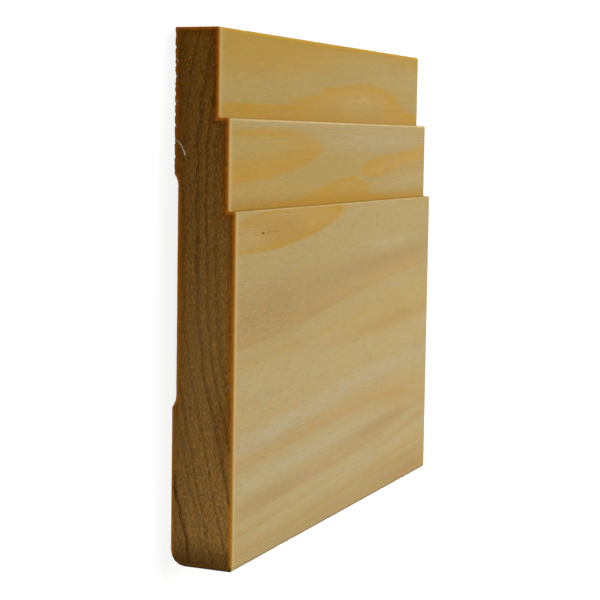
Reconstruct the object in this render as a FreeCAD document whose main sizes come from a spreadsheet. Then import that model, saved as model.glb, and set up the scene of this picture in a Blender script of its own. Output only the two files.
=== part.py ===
import FreeCAD, Part
import os
import Sketcher

# A length of stepped softwood skirting board, sawn square at both ends and lying on its back.
# It is one solid piece of wood, run through a moulder along its whole length.
# X runs along the length, Y up the face from the floor edge to the top edge, and Z through the
# thickness, from the back lands at Z = 0 to the face of the lower band.
# The origin is under the middle of the board. All sizes are in millimetres.

SIZES = {
    "board_length": 152.4,
    "board_height": 139.7,
    "board_thickness": 17.5,
    "top_band_height": 23.0,
    "middle_band_height": 23.7,
    "upper_step_depth": 3.0,
    "lower_step_depth": 2.1,
    "step_root_radius": 0.5,
    "face_arris_radius": 0.35,
    "upper_land_height": 37.3,
    "lower_land_height": 41.7,
    "relief_depth": 1.15,
    "relief_ramp_run": 1.9,
    "relief_root_radius": 4.0,
    "relief_lip_radius": 1.0,
    "heel_radius": 4.0,
}

NEAR = 1e-4  # how close an edge lies to the place where it is looked for, in mm
ROUGH = 10.0  # how large a sketch's lines start, in mm, before its dimensions place them
LEAST_CUT = 1e-3  # a feature that changes the volume by less than this, in mm3, did nothing

ORIGIN = (-1, 1)  # a sketch's origin point
LEVEL_AXIS = -1  # a sketch's x axis: the plane of the back lands
RECTANGLE = [(0, 0), (ROUGH, 0), (ROUGH, ROUGH), (0, ROUGH)]
RAMPED_HOLLOW = [(-ROUGH, 0), (ROUGH, 0), (ROUGH / 2, ROUGH), (-ROUGH / 2, ROUGH)]


def size_sheet(doc):
    """The driving dimensions, one row each, with the name as the cell's alias."""
    sheet = doc.addObject("Spreadsheet::Sheet", "sizes")
    for row, (name, value) in enumerate(SIZES.items(), start=1):
        sheet.set(f"A{row}", name)
        sheet.set(f"B{row}", str(value))
        sheet.setAlias(f"B{row}", name)
    doc.recompute()
    return sheet


def section_sketch(body, name, corners):
    """A closed outline of straight sides on the body's YZ plane, across the middle of the board.
    The sketch's own x is the board's Y and its y is the board's Z."""
    plane = next(f for f in body.Origin.OriginFeatures if f.Role == "YZ_Plane")
    sketch = body.newObject("Sketcher::SketchObject", name)
    sketch.AttachmentSupport = [(plane, "")]
    sketch.MapMode = "FlatFace"
    points = [FreeCAD.Vector(x, y, 0) for x, y in corners]
    for start, end in zip(points, points[1:] + points[:1]):
        sketch.addGeometry(Part.LineSegment(start, end))
    for side in range(len(points)):
        following = (side + 1) % len(points)
        sketch.addConstraint(Sketcher.Constraint("Coincident", side, 2, following, 1))
    return sketch


def measure(sketch, name, kind, ends, expression):
    """A named dimension between two points of the sketch, bound to the size sheet."""
    number = sketch.addConstraint(Sketcher.Constraint(kind, *ends, ROUGH))
    sketch.renameConstraint(number, name)
    sketch.setExpression(f"Constraints.{name}", expression)


def rectangle_sketch(body, name):
    """A rectangle whose first side is its lowest one, running up the board."""
    sketch = section_sketch(body, name, RECTANGLE)
    for side, kind in enumerate(("Horizontal", "Vertical", "Horizontal", "Vertical")):
        sketch.addConstraint(Sketcher.Constraint(kind, side))
    return sketch


def blank(body):
    """The planed plank that the moulding is cut from."""
    sketch = rectangle_sketch(body, "blank_section")
    sketch.addConstraint(Sketcher.Constraint("PointOnObject", 0, 1, LEVEL_AXIS))
    measure(sketch, "floor_edge", "DistanceX", (0, 1, *ORIGIN), "sizes.board_height / 2")
    measure(sketch, "height", "DistanceX", (0, 1, 0, 2), "sizes.board_height")
    measure(sketch, "thickness", "DistanceY", (1, 1, 1, 2), "sizes.board_thickness")
    pad = body.newObject("PartDesign::Pad", "blank")
    pad.Profile = sketch
    pad.SideType = "Symmetric"
    pad.setExpression("Length", "sizes.board_length")
    return pad


def run_cutter(body, sketch, name):
    """Cuts the sketched section away along the whole length, as one knife of the moulder does."""
    pocket = body.newObject("PartDesign::Pocket", name)
    pocket.Profile = sketch
    pocket.Type = "ThroughAll"
    pocket.SideType = "Symmetric"
    return pocket


def rebate(body, name, height, depth, seat):
    """A step in the face: a rebate from the top edge down, as high as height and as deep as depth.
    seat is the thickness of wood that it leaves behind it."""
    sketch = rectangle_sketch(body, f"{name}_section")
    measure(sketch, "top_edge", "DistanceX", (*ORIGIN, 0, 2), "sizes.board_height / 2")
    measure(sketch, "height", "DistanceX", (0, 1, 0, 2), height)
    measure(sketch, "seat", "DistanceY", (*ORIGIN, 0, 1), seat)
    measure(sketch, "depth", "DistanceY", (1, 1, 1, 2), depth)
    return run_cutter(body, sketch, name)


def back_relief(body):
    """The shallow hollow in the back, with ramped ends, that lets the board bridge an uneven wall."""
    sketch = section_sketch(body, "back_relief_section", RAMPED_HOLLOW)
    for side in (0, 2):
        sketch.addConstraint(Sketcher.Constraint("Horizontal", side))
    sketch.addConstraint(Sketcher.Constraint("PointOnObject", 0, 1, LEVEL_AXIS))
    measure(
        sketch,
        "lower_land",
        "DistanceX",
        (0, 1, *ORIGIN),
        "sizes.board_height / 2 - sizes.lower_land_height",
    )
    measure(
        sketch,
        "upper_land",
        "DistanceX",
        (*ORIGIN, 0, 2),
        "sizes.board_height / 2 - sizes.upper_land_height",
    )
    measure(sketch, "depth", "DistanceY", (0, 2, 1, 2), "sizes.relief_depth")
    measure(sketch, "upper_ramp", "DistanceX", (1, 2, 1, 1), "sizes.relief_ramp_run")
    measure(sketch, "lower_ramp", "DistanceX", (3, 2, 3, 1), "sizes.relief_ramp_run")
    return run_cutter(body, sketch, "back_relief")


def long_edges(shape, places):
    """The names of the shape's straight edges along X that pass through the places, (y, z) each."""
    found = []
    for y, z in places:
        hits = [
            f"Edge{number}"
            for number, edge in enumerate(shape.Edges, start=1)
            if all(
                abs(vertex.Point.y - y) < NEAR and abs(vertex.Point.z - z) < NEAR
                for vertex in edge.Vertexes
            )
        ]
        if len(hits) != 1:
            raise RuntimeError(f"{len(hits)} edges at y {y:.3f}, z {z:.3f}, and not one")
        found += hits
    return found


def round_edges(body, name, places, radius):
    """Rounds the edges along the length at the places to a radius in the size sheet."""
    base = body.Tip
    body.Document.recompute()
    fillet = body.newObject("PartDesign::Fillet", name)
    fillet.Base = (base, long_edges(base.Shape, places))
    fillet.setExpression("Radius", f"sizes.{radius}")
    return fillet


def skirting_board(doc, sheet):
    """The whole moulding, cut in the order that a moulder's heads meet the plank."""
    body = doc.addObject("PartDesign::Body", "skirting_board")
    body.Label = "skirting_board"
    blank(body)
    rebate(
        body,
        "lower_step",
        "sizes.top_band_height + sizes.middle_band_height",
        "sizes.lower_step_depth",
        "sizes.board_thickness - sizes.lower_step_depth",
    )
    rebate(
        body,
        "upper_step",
        "sizes.top_band_height",
        "sizes.upper_step_depth",
        "sizes.board_thickness - sizes.lower_step_depth - sizes.upper_step_depth",
    )
    back_relief(body)

    top = sheet.board_height / 2
    floor = -top
    upper_shelf = top - sheet.top_band_height
    lower_shelf = upper_shelf - sheet.middle_band_height
    lower_face = sheet.board_thickness
    middle_face = lower_face - sheet.lower_step_depth
    top_face = middle_face - sheet.upper_step_depth
    relief_low = floor + sheet.lower_land_height
    relief_high = top - sheet.upper_land_height
    ramp = sheet.relief_ramp_run

    round_edges(body, "heel", [(floor, 0)], "heel_radius")
    round_edges(
        body,
        "relief_roots",
        [(relief_low + ramp, sheet.relief_depth), (relief_high - ramp, sheet.relief_depth)],
        "relief_root_radius",
    )
    round_edges(body, "relief_lips", [(relief_low, 0), (relief_high, 0)], "relief_lip_radius")
    round_edges(
        body,
        "step_roots",
        [(upper_shelf, top_face), (lower_shelf, middle_face)],
        "step_root_radius",
    )
    round_edges(
        body,
        "face_arrises",
        [
            (top, top_face),
            (upper_shelf, middle_face),
            (lower_shelf, lower_face),
            (floor, lower_face),
        ],
        "face_arris_radius",
    )
    return body


def check(doc, bodies):
    """Stops the build if a feature failed, cut nothing or left a broken solid."""
    for item in doc.Objects:
        if {"Invalid", "Error"} & set(item.State):
            raise RuntimeError(f"{item.Name} failed: {item.State}")
    for body in bodies:
        volume = None
        for feature in body.Group:
            if not hasattr(feature, "BaseFeature"):
                continue
            if volume is not None and abs(feature.Shape.Volume - volume) < LEAST_CUT:
                raise RuntimeError(f"{feature.Name} changed nothing")
            volume = feature.Shape.Volume
        if body.Shape.isNull() or not body.Shape.isValid() or len(body.Shape.Solids) != 1:
            raise RuntimeError(f"{body.Label} is not one valid solid")


def main():
    doc = FreeCAD.newDocument("skirting_board_length")
    sheet = size_sheet(doc)
    bodies = [skirting_board(doc, sheet)]
    doc.recompute()
    check(doc, bodies)
    os.makedirs("parts", exist_ok=True)
    for body in bodies:
        body.Shape.exportStep(f"parts/{body.Label}.step")
        box = body.Shape.BoundBox
        print(
            f"{body.Label}: {box.XLength:.2f} x {box.YLength:.2f} x {box.ZLength:.2f} mm, "
            f"{body.Shape.Volume / 1000:.2f} cm3, {len(body.Shape.Faces)} faces"
        )


main()
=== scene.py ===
import math

import bmesh
import bpy
import numpy as np
from mathutils import Euler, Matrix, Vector, noise
from mathutils.geometry import delaunay_2d_cdt


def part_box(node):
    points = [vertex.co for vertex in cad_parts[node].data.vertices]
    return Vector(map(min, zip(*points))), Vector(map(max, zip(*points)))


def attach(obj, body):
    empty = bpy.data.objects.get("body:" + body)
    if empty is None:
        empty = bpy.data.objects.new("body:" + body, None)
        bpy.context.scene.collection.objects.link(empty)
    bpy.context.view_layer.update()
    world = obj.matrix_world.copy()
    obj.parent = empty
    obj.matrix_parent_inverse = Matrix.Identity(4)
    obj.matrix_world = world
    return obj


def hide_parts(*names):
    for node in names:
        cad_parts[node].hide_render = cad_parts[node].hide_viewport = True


# The look of a short length of stepped softwood skirting board, lying on its back.
# The sizes here are in millimetres, measured from the board's left end (X), its floor edge (Y)
# and its back lands (Z). They become metres in the CAD frame only where vertices are made.

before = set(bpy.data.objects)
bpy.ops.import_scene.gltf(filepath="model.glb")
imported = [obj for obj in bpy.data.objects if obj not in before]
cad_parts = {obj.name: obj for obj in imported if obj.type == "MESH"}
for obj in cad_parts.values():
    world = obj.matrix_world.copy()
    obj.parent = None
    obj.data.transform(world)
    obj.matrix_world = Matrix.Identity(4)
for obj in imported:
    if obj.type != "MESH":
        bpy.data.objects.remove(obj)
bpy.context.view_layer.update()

MM = 0.001
NODE = "skirting_board"
low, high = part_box(NODE)
LENGTH, HEIGHT, THICKNESS = ((high - low) / MM)[:]

# The moulding's section
TOP_BAND_HEIGHT = 23.0
MIDDLE_BAND_HEIGHT = 23.7
UPPER_STEP = 3.0
LOWER_STEP = 2.1
LOWER_SHELF = HEIGHT - TOP_BAND_HEIGHT - MIDDLE_BAND_HEIGHT
UPPER_SHELF = HEIGHT - TOP_BAND_HEIGHT
MIDDLE_FACE = THICKNESS - LOWER_STEP
TOP_FACE = MIDDLE_FACE - UPPER_STEP
RELIEF_LOW = 41.7
RELIEF_HIGH = HEIGHT - 37.3
RELIEF_DEPTH = 1.15
RELIEF_RAMP = 1.9
RELIEF_ROOT_RADIUS = 4.0
RELIEF_LIP_RADIUS = 1.0
HEEL_RADIUS = 4.0
ARRIS_RADIUS = 0.35
STEP_ROOT_RADIUS = 0.5

# The small resin pit on the lower band, near its upper left corner
PIT = Vector((17.4, 86.8, THICKNESS))
PIT_REACH = Vector((0.75, 0.27, 1.0))
PIT_DEPTH = 0.45
# Short dark dashes along the grain: X, Y, length and strength
GRAIN_DASHES = (
    (20.8, 86.95, 2.6, 0.75),
    (25.5, 87.0, 3.8, 0.6),
    (81.7, 86.0, 2.4, 0.4),
    (86.0, 50.9, 4.4, 0.45),
)
DASH_WIDTH = 0.24

# How fine the mesh is
ARC_STEP = math.radians(24)
OUTLINE_FINE = 0.16
OUTLINE_COARSE = 1.4
OUTLINE_TORN = 0.4
LENGTH_FINE = 0.16
LENGTH_COARSE = 1.25
GROWTH = 1.35
CAP_GRID = 0.62
CAP_RINGS = (0.2, 0.5)

# How worn the surfaces are
PLANING_WAVE = 0.03
ARRIS_NICK = 0.16
ARRIS_REACH = 0.7
SAW_WAVE = 0.05
END_NICK = 0.12
TORN_NOTCH = 0.45
TORN_FROM = 103.0
SHELF_CHIP = 0.4


def to_frame(point):
    """A place on the board, in millimetres from its corner, as metres in the CAD frame."""
    return Vector(
        (low.x + point[0] * MM, low.y + point[1] * MM, low.z + point[2] * MM)
    )


def paint(red, green, blue):
    """A colour as a screen shows it, 0 to 255 each, as the linear colour that a socket takes."""
    linear = []
    for value in (red, green, blue):
        share = value / 255
        linear.append(share / 12.92 if share <= 0.04045 else ((share + 0.055) / 1.055) ** 2.4)
    return (*linear, 1.0)


# Shape of the board


def section_corners():
    """The corners of the section with their radii, from the heel along the back, over the top
    edge and down the face. A corner in the middle of a straight side only makes the mesh fine."""
    return [
        (0.0, 0.0, HEEL_RADIUS),
        (RELIEF_LOW, 0.0, RELIEF_LIP_RADIUS),
        (RELIEF_LOW + RELIEF_RAMP, RELIEF_DEPTH, RELIEF_ROOT_RADIUS),
        (RELIEF_HIGH - RELIEF_RAMP, RELIEF_DEPTH, RELIEF_ROOT_RADIUS),
        (RELIEF_HIGH, 0.0, RELIEF_LIP_RADIUS),
        (HEIGHT, 0.0, 0.0),
        (HEIGHT, TOP_FACE, ARRIS_RADIUS),
        (UPPER_SHELF, TOP_FACE, STEP_ROOT_RADIUS),
        (UPPER_SHELF, MIDDLE_FACE, ARRIS_RADIUS),
        (LOWER_SHELF, MIDDLE_FACE, STEP_ROOT_RADIUS),
        (LOWER_SHELF, THICKNESS, ARRIS_RADIUS),
        (PIT.y, THICKNESS, 0.0),
        (0.0, THICKNESS, ARRIS_RADIUS),
    ]


def graded(length, fine, coarse):
    """Places from 0 to length, close together at both ends and further apart in the middle."""
    steps = []
    step = fine
    while sum(steps) + step < length / 2:
        steps.append(step)
        step = min(step * GROWTH, coarse)
    left_over = length - 2 * sum(steps)
    if left_over > step or not steps:
        steps = steps + [left_over] + steps[::-1]
    else:
        last = steps.pop()
        steps = steps + [last + left_over / 2] * 2 + steps[::-1]
    return np.concatenate([[0.0], np.cumsum(steps)])


def rounded_corner(before, corner, after, radius):
    """The points of one corner: the corner itself, or an arc that touches both its sides."""
    if radius == 0:
        return [corner]
    into = (corner - before).normalized()
    out = (after - corner).normalized()
    turn = into.angle_signed(out)
    reach = radius * math.tan(abs(turn) / 2)
    side = -math.copysign(1.0, turn)
    centre = corner - into * reach + Vector((-into.y, into.x)) * radius * side
    start = corner - into * reach - centre
    count = max(2, math.ceil(abs(turn) / ARC_STEP))
    points = []
    for step in range(count + 1):
        angle = side * abs(turn) * step / count
        turned = Vector(
            (
                start.x * math.cos(angle) - start.y * math.sin(angle),
                start.x * math.sin(angle) + start.y * math.cos(angle),
            )
        )
        points.append(centre + turned)
    return points


def section_outline():
    """The closed outline of the section as (Y, Z) points."""
    corners = [(Vector((y, z)), radius) for y, z, radius in section_corners()]
    torn_land = Vector((HEIGHT, 0.0))
    rounds = []
    for number, (corner, radius) in enumerate(corners):
        before = corners[number - 1][0]
        after = corners[(number + 1) % len(corners)][0]
        rounds.append(rounded_corner(before, corner, after, radius))
    outline = []
    for number, points in enumerate(rounds):
        outline += points
        following = rounds[(number + 1) % len(rounds)][0]
        side = following - points[-1]
        coarse = OUTLINE_TORN if following == torn_land else OUTLINE_COARSE
        places = graded(side.length, OUTLINE_FINE, coarse)[1:-1]
        outline += [points[-1] + side * place / side.length for place in places]
    return outline


def outline_normals(outline):
    """The direction out of the wood at each point of the outline."""
    normals = []
    for number, point in enumerate(outline):
        before = point - outline[number - 1]
        after = outline[(number + 1) % len(outline)] - point
        along = before.normalized() + after.normalized()
        normals.append(Vector((along.y, -along.x)).normalized())
    return normals


def length_places():
    """Where the sections stand along the length, close together at the ends and at the pit."""
    left = graded(PIT.x, LENGTH_FINE, LENGTH_COARSE)
    right = graded(LENGTH - PIT.x, LENGTH_FINE, LENGTH_COARSE)
    return np.concatenate([left, PIT.x + right[1:]])


def swell(distance, reach):
    """1 at no distance, falling softly to nearly nothing past the reach."""
    return math.exp(-((distance / reach) ** 2))


def arris_nick(place, distance):
    """How far an arris of the face is bruised in, near and at the arris."""
    if distance > 3 * ARRIS_REACH:
        return 0.0
    bruise = max(0.0, noise.noise(place * 0.42) - 0.18)
    fray = max(0.0, noise.noise(place * 1.9 + Vector((7, 3, 5)))) * 0.35
    return ARRIS_NICK * (bruise * 1.6 + fray) * swell(distance, ARRIS_REACH)


def pit_depth(place):
    """The depth of the resin pit, a short slit along the grain with a ragged outline."""
    away = place - PIT
    if abs(away.x) > 3 * PIT_REACH.x or abs(away.y) > 6 * PIT_REACH.y:
        return 0.0
    ragged = 1 + 0.5 * noise.noise(place * 2.3)
    far = (away.x / PIT_REACH.x) ** 2 + (away.y / (PIT_REACH.y * ragged)) ** 2
    return PIT_DEPTH * math.exp(-(far**2))


FACE_ARRISES = (
    Vector((HEIGHT, TOP_FACE)),
    Vector((UPPER_SHELF, MIDDLE_FACE)),
    Vector((LOWER_SHELF, THICKNESS)),
    Vector((0.0, THICKNESS)),
)


def planed_wear(place):
    """How far a point of the planed sides lies inside the true section."""
    long_wave = noise.noise(Vector((place.x / 38, place.y / 17, place.z / 9)))
    depth = PLANING_WAVE * (0.5 + 0.5 * long_wave)
    section_place = Vector((place.y, place.z))
    near = min((section_place - arris).length for arris in FACE_ARRISES)
    depth += arris_nick(place, near)
    depth += pit_depth(place)
    chip_far = (section_place - FACE_ARRISES[2]).length
    if place.x < 12 and chip_far < 2:
        chips = max(0.0, noise.noise(place * 0.9 + Vector((2, 9, 4))))
        depth += SHELF_CHIP * chips * swell(chip_far, 0.5) * swell(place.x, 7)
    return depth


def torn_notch(place):
    """How far the saw tore the back arris of the left end, as a corner cut off X and Z."""
    if place.y < TORN_FROM - 3:
        return 0.0
    teeth = 0.5 * max(0.0, noise.noise(Vector((place.y / 3.4, 3.7, 0.0))) + 0.1)
    fray = max(0.0, noise.noise(Vector((place.y / 0.9, 8.1, 0.0))))
    rise = min(1.0, max(0.0, (place.y - TORN_FROM + 3) / 6))
    return TORN_NOTCH * (teeth + fray) * rise * swell(Vector((place.x / 3, place.z)).length, 0.5)


def end_wear(place, rim):
    """How far a point of a sawn end lies inside the true end, with rim its distance from the
    outline."""
    sawn = noise.noise(Vector((place.y / 7 + place.z / 3, place.y / 60, place.x)))
    rough = noise.noise(Vector((place.y / 0.8, place.z / 0.8, place.x + 4)))
    frayed = max(0.0, noise.noise(Vector((place.y / 0.7, place.z / 0.7, place.x + 9))))
    depth = SAW_WAVE * (0.5 + 0.35 * sawn + 0.15 * rough)
    return depth + END_NICK * frayed * swell(rim, 0.25)


def distances_to(outline, points):
    """The distance of each point from the closed outline."""
    starts = np.array([corner[:] for corner in outline])
    ends = np.roll(starts, -1, axis=0)
    sides = ends - starts
    nearest = np.full(len(points), np.inf)
    for start, side in zip(starts, sides):
        offset = points - start
        share = np.clip(offset @ side / (side @ side), 0, 1)
        nearest = np.minimum(nearest, np.linalg.norm(offset - share[:, None] * side, axis=1))
    return nearest


def inside(outline, points):
    """Which points lie inside the closed outline."""
    starts = np.array([corner[:] for corner in outline])
    ends = np.roll(starts, -1, axis=0)
    crossed = np.zeros(len(points), bool)
    for (y0, z0), (y1, z1) in zip(starts, ends):
        if z0 == z1:
            continue
        spans = (z0 > points[:, 1]) != (z1 > points[:, 1])
        meets = y0 + (points[:, 1] - z0) / (z1 - z0) * (y1 - y0)
        crossed ^= spans & (points[:, 0] < meets)
    return crossed


def end_points(outline, normals):
    """Points within the section for the sawn ends: two rings along the outline and a grid."""
    chosen = []
    for depth in CAP_RINGS:
        ring = np.array([(point - normal * depth)[:] for point, normal in zip(outline, normals)])
        fits = inside(outline, ring) & (distances_to(outline, ring) > 0.92 * depth)
        spread = []
        for point in ring[fits]:
            if not spread or np.linalg.norm(point - spread[-1]) > 0.7 * depth + 0.1:
                spread.append(point)
        chosen.append(np.array(spread))
    rows = int(HEIGHT / CAP_GRID)
    columns = int(THICKNESS / CAP_GRID)
    shake = np.random.default_rng(12).uniform(-0.2, 0.2, (rows, columns, 2)) * CAP_GRID
    grid = []
    for row in range(rows):
        for column in range(columns):
            y = (row + 0.5) * CAP_GRID + shake[row, column, 0]
            z = (column + 0.5 * (row % 2) + 0.25) * CAP_GRID + shake[row, column, 1]
            grid.append((y, z))
    grid = np.array(grid)
    fits = inside(outline, grid) & (distances_to(outline, grid) > CAP_RINGS[-1] + 0.3)
    chosen.append(grid[fits])
    return np.concatenate(chosen)


def board_mesh():
    """The whole board as one closed mesh: a sleeve of sections and two triangulated ends."""
    outline = section_outline()
    normals = outline_normals(outline)
    places = length_places()
    count = len(outline)
    mesh = bmesh.new()

    rings = []
    for x in places:
        ring = []
        for point, normal in zip(outline, normals):
            place = Vector((x, point.x, point.y))
            depth = planed_wear(place)
            varied = place - Vector((0, normal.x, normal.y)) * depth
            end_depth = 0.0
            if x in (places[0], places[-1]):
                end_depth = end_wear(place, 0.0)
            torn = torn_notch(place)
            varied.x += (end_depth if x == places[0] else -end_depth) + torn
            varied.z += torn
            ring.append(mesh.verts.new(to_frame(varied)))
        rings.append(ring)
    for near, far in zip(rings, rings[1:]):
        for number in range(count):
            following = (number + 1) % count
            side = mesh.faces.new((near[number], near[following], far[following], far[number]))
            side.smooth = True

    inner = end_points(outline, normals)
    rims = distances_to(outline, inner)
    flat_points = [point.copy() for point in outline] + [Vector(point) for point in inner]
    border = [(number, (number + 1) % count) for number in range(count)]
    result = delaunay_2d_cdt(flat_points, border, [], 1, 1e-6)
    triangles, sources = result[2], result[3]
    for ring, x, outward in ((rings[0], 0.0, -1), (rings[-1], LENGTH, 1)):
        cap = list(ring)
        for point, rim in zip(inner, rims):
            place = Vector((x, point[0], point[1]))
            place.x -= outward * end_wear(place, rim)
            if outward < 0:
                place.x += torn_notch(place)
            cap.append(mesh.verts.new(to_frame(place)))
        for triangle in triangles:
            corners = [cap[sources[number][0]] for number in triangle]
            if outward > 0:
                corners.reverse()
            face = mesh.faces.new(corners)
            face.material_index = 1
            face.smooth = True
    mesh.normal_update()
    for x_ring in (rings[0], rings[-1]):
        for number in range(count):
            edge = mesh.edges.get((x_ring[number], x_ring[(number + 1) % count]))
            edge.smooth = False
    return mesh


# Parts of a material


class Bench:
    """Lays out the nodes of one material or group and joins them in the order of the work."""

    def __init__(self, tree):
        self.tree = tree

    def add(self, kind, **settings):
        node = self.tree.nodes.new(kind)
        for name, value in settings.items():
            setattr(node, name, value)
        return node

    def feed(self, socket, value):
        """Joins another node's output to the socket, or sets a plain value on it."""
        if isinstance(value, bpy.types.NodeSocket):
            self.tree.links.new(value, socket)
        else:
            socket.default_value = value

    def math(self, operation, *values, clamp=False):
        node = self.add("ShaderNodeMath", operation=operation, use_clamp=clamp)
        for socket, value in zip(node.inputs, values):
            self.feed(socket, value)
        return node.outputs[0]

    def vector(self, operation, *values):
        node = self.add("ShaderNodeVectorMath", operation=operation)
        for socket, value in zip(node.inputs, values):
            self.feed(socket, value)
        return node.outputs["Value" if operation == "DOT_PRODUCT" else "Vector"]

    def parts(self, vector):
        node = self.add("ShaderNodeSeparateXYZ")
        self.feed(node.inputs[0], vector)
        return node.outputs

    def ramp(self, value, start, end, first=0.0, last=1.0, kind="LINEAR"):
        """Value from start to end mapped to first to last, and held there beyond them."""
        node = self.add("ShaderNodeMapRange", interpolation_type=kind, clamp=True)
        for socket, given in zip(node.inputs, (value, start, end, first, last)):
            self.feed(socket, given)
        return node.outputs[0]

    def blend(self, share, first, second):
        node = self.add("ShaderNodeMix", data_type="RGBA")
        self.feed(node.inputs[0], share)
        self.feed(node.inputs[6], first)
        self.feed(node.inputs[7], second)
        return node.outputs[2]

    def grade(self, share, first, second):
        node = self.add("ShaderNodeMix", data_type="FLOAT")
        self.feed(node.inputs[0], share)
        self.feed(node.inputs[2], first)
        self.feed(node.inputs[3], second)
        return node.outputs[0]

    def shade(self, colour, factor):
        """The colour made lighter or darker by a factor."""
        node = self.add("ShaderNodeVectorMath", operation="SCALE")
        self.feed(node.inputs[0], colour)
        self.feed(node.inputs["Scale"], factor)
        return node.outputs[0]

    def place(self, group, **values):
        """A copy of a node group with its inputs fed by name. Returns its outputs."""
        node = self.add("ShaderNodeGroup")
        node.node_tree = group
        for name, value in values.items():
            self.feed(node.inputs[name.replace("_", " ")], value)
        return node.outputs


def new_group(name, inputs, outputs):
    """An empty node group with named sockets. Returns it, its bench, its inputs and outputs."""
    tree = bpy.data.node_groups.new(name, "ShaderNodeTree")
    for socket_name, kind in inputs.items():
        tree.interface.new_socket(socket_name, in_out="INPUT", socket_type=kind)
    for socket_name, kind in outputs.items():
        tree.interface.new_socket(socket_name, in_out="OUTPUT", socket_type=kind)
    bench = Bench(tree)
    given = bench.add("NodeGroupInput").outputs
    result = bench.add("NodeGroupOutput").inputs
    return tree, bench, given, result


NUMBER = "NodeSocketFloat"
VECTOR = "NodeSocketVector"
COLOUR = "NodeSocketColor"

# Pattern of the wood

# The growth rings, from the one nearest the middle of the tree outward. Each has the place of
# its outer edge in mm outward, the share of its width where its latewood begins, how strong its
# line is on the sawn ends, and its latewood's colour.
RINGS = [
    (-19.4, 0.5, 0.5, paint(182, 148, 88)),
    (-17.5, 0.3, 0.6, paint(186, 146, 74)),
    (-15.62, 0.25, 0.5, paint(181, 147, 86)),
    (-14.71, 0.4, 0.5, paint(184, 156, 92)),
    (-10.8, 0.5, 0.8, paint(184, 157, 100)),
    (-8.7, 0.4, 1.3, paint(185, 151, 92)),
    (-5.7, 0.45, 1.4, paint(181, 151, 99)),
    (-4.7, 0.5, 0.1, paint(182, 148, 86)),
    (-3.5, 0.5, 0.1, paint(182, 152, 94)),
    (-1.9, 0.5, 1.0, paint(178, 144, 84)),
    (0.3, 0.5, 0.2, paint(180, 147, 88)),
    (2.2, 0.5, 1.0, paint(181, 147, 84)),
    (4.5, 0.5, 0.7, paint(178, 145, 86)),
    (6.6, 0.5, 0.2, paint(181, 148, 88)),
    (9.5, 0.5, 2.0, paint(179, 145, 82)),
    (11.4, 0.5, 0.6, paint(181, 148, 88)),
    (13.7, 0.5, 0.6, paint(179, 145, 84)),
]
RING_EDGE = 0.09
RING_WAVER = 0.045
RING_WANDER = 0.5
RING_RIPPLE = 0.22

# The rings lie nearly level behind the face and turn down towards both edges
MIDDLE_SLOPE = 0.035
MIDDLE_FROM = 95.0
FLOOR_SLOPE = 0.2
FLOOR_FROM = 57.0
TOP_SLOPE = 0.16
TOP_FROM = 111.0
SLOPE_SOFTNESS = 12.0

# Swells in the rings: centre and reach in mm, rise of the axis per mm of length, height in mm
# outward, and flatness, where 1 is a soft mound and 2 has a flat top and steep sides
SWELLS = {
    "left tongue on the middle band": ((0, 106.9, 15.4), (70, 6.6, 1.6), 0.042, -0.7, 1.5),
    "above that tongue's tip": ((66, 116.0, 15.4), (16, 4.5, 1.6), -0.08, 0.4, 1),
    "below that tongue's tip": ((66, 104.2, 15.4), (16, 3.4, 1.6), 0.2, 0.3, 1),
    "hill on the middle band": ((86, 92.8, 15.4), (17, 7.6, 1.4), 0.0, -0.55, 4),
    "left foot of that hill": ((63, 92.0, 15.4), (27, 7.4, 1.4), 0.12, -0.45, 2),
    "right tongue on the middle band": ((152, 108.7, 15.4), (54, 2.7, 1.6), 0.112, -0.5, 3),
    "blunt end of the right tongue": ((110, 103.8, 15.4), (16, 3.4, 1.6), 0.1, -0.42, 4),
    "under the upper step": ((75, 118, 15.4), (300, 5.5, 1.6), 0.0, -1.0, 1),
    "tongue on the lower band": ((28.5, 87.5, 17.5), (42, 5.4, 1.4), 0.08, -0.75, 3),
    "hill on the top band, left": ((89, 124, 12.4), (38, 16, 1.8), 0.0, -0.84, 1),
    "hill on the top band, right": ((110, 124, 12.4), (22, 16, 1.8), 0.0, -0.48, 1.5),
    "left of the top hill": ((2, 120, 12.4), (24, 6, 1.8), 0.0, 0.2, 1),
    "right of the top hill": ((146, 120, 12.4), (16, 6, 1.8), 0.0, 0.2, 1),
    "along the top edge": ((60, 144, 12.4), (140, 8, 3.0), 0.0, -1.6, 1),
    "top right corner": ((150, 142, 12.4), (45, 12, 3.0), 0.0, -0.8, 1),
    "right shoulder": ((150, 68, 17.5), (90, 8, 3.5), 0.1, 1.05, 1),
    "below the shoulder": ((150, 57, 17.5), (112, 8, 3.5), 0.0, 0.5, 1),
    "lower half of the face": ((105, 25, 17.5), (75, 30, 8), 0.0, 1.0, 1),
    "waist": ((112, 53.5, 17.5), (30, 5, 4), 0.0, -0.8, 1),
    "right middle": ((150, 43, 17.5), (95, 6, 4), 0.06, 1.9, 1),
    "right low": ((155, 20, 17.5), (38, 9, 4), 0.0, 1.9, 1),
    "right floor edge": ((150, 7, 17.5), (60, 6, 4), 0.0, 0.9, 1),
    "foot of the left end": ((0, 12, 10.5), (30, 16, 5), 0.0, -0.8, 1),
}

# How much the bare wood shines
WOOD_SHEEN = 0.048
TORN_SHEEN = 0.1

# Colours of the planed wood
PALE_BELOW = paint(184, 160, 107)
PALE_SHELF_COLOUR = paint(178, 154, 98)
PALE_ABOVE = paint(173, 145, 78)
PALE_SHELF = (48.0, 82.0)
PALE_STEP = (92.0, 94.0)
GOLD_STEP = (78.0, 82.0)
GOLD_LATEWOOD = paint(181, 137, 38)

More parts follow.
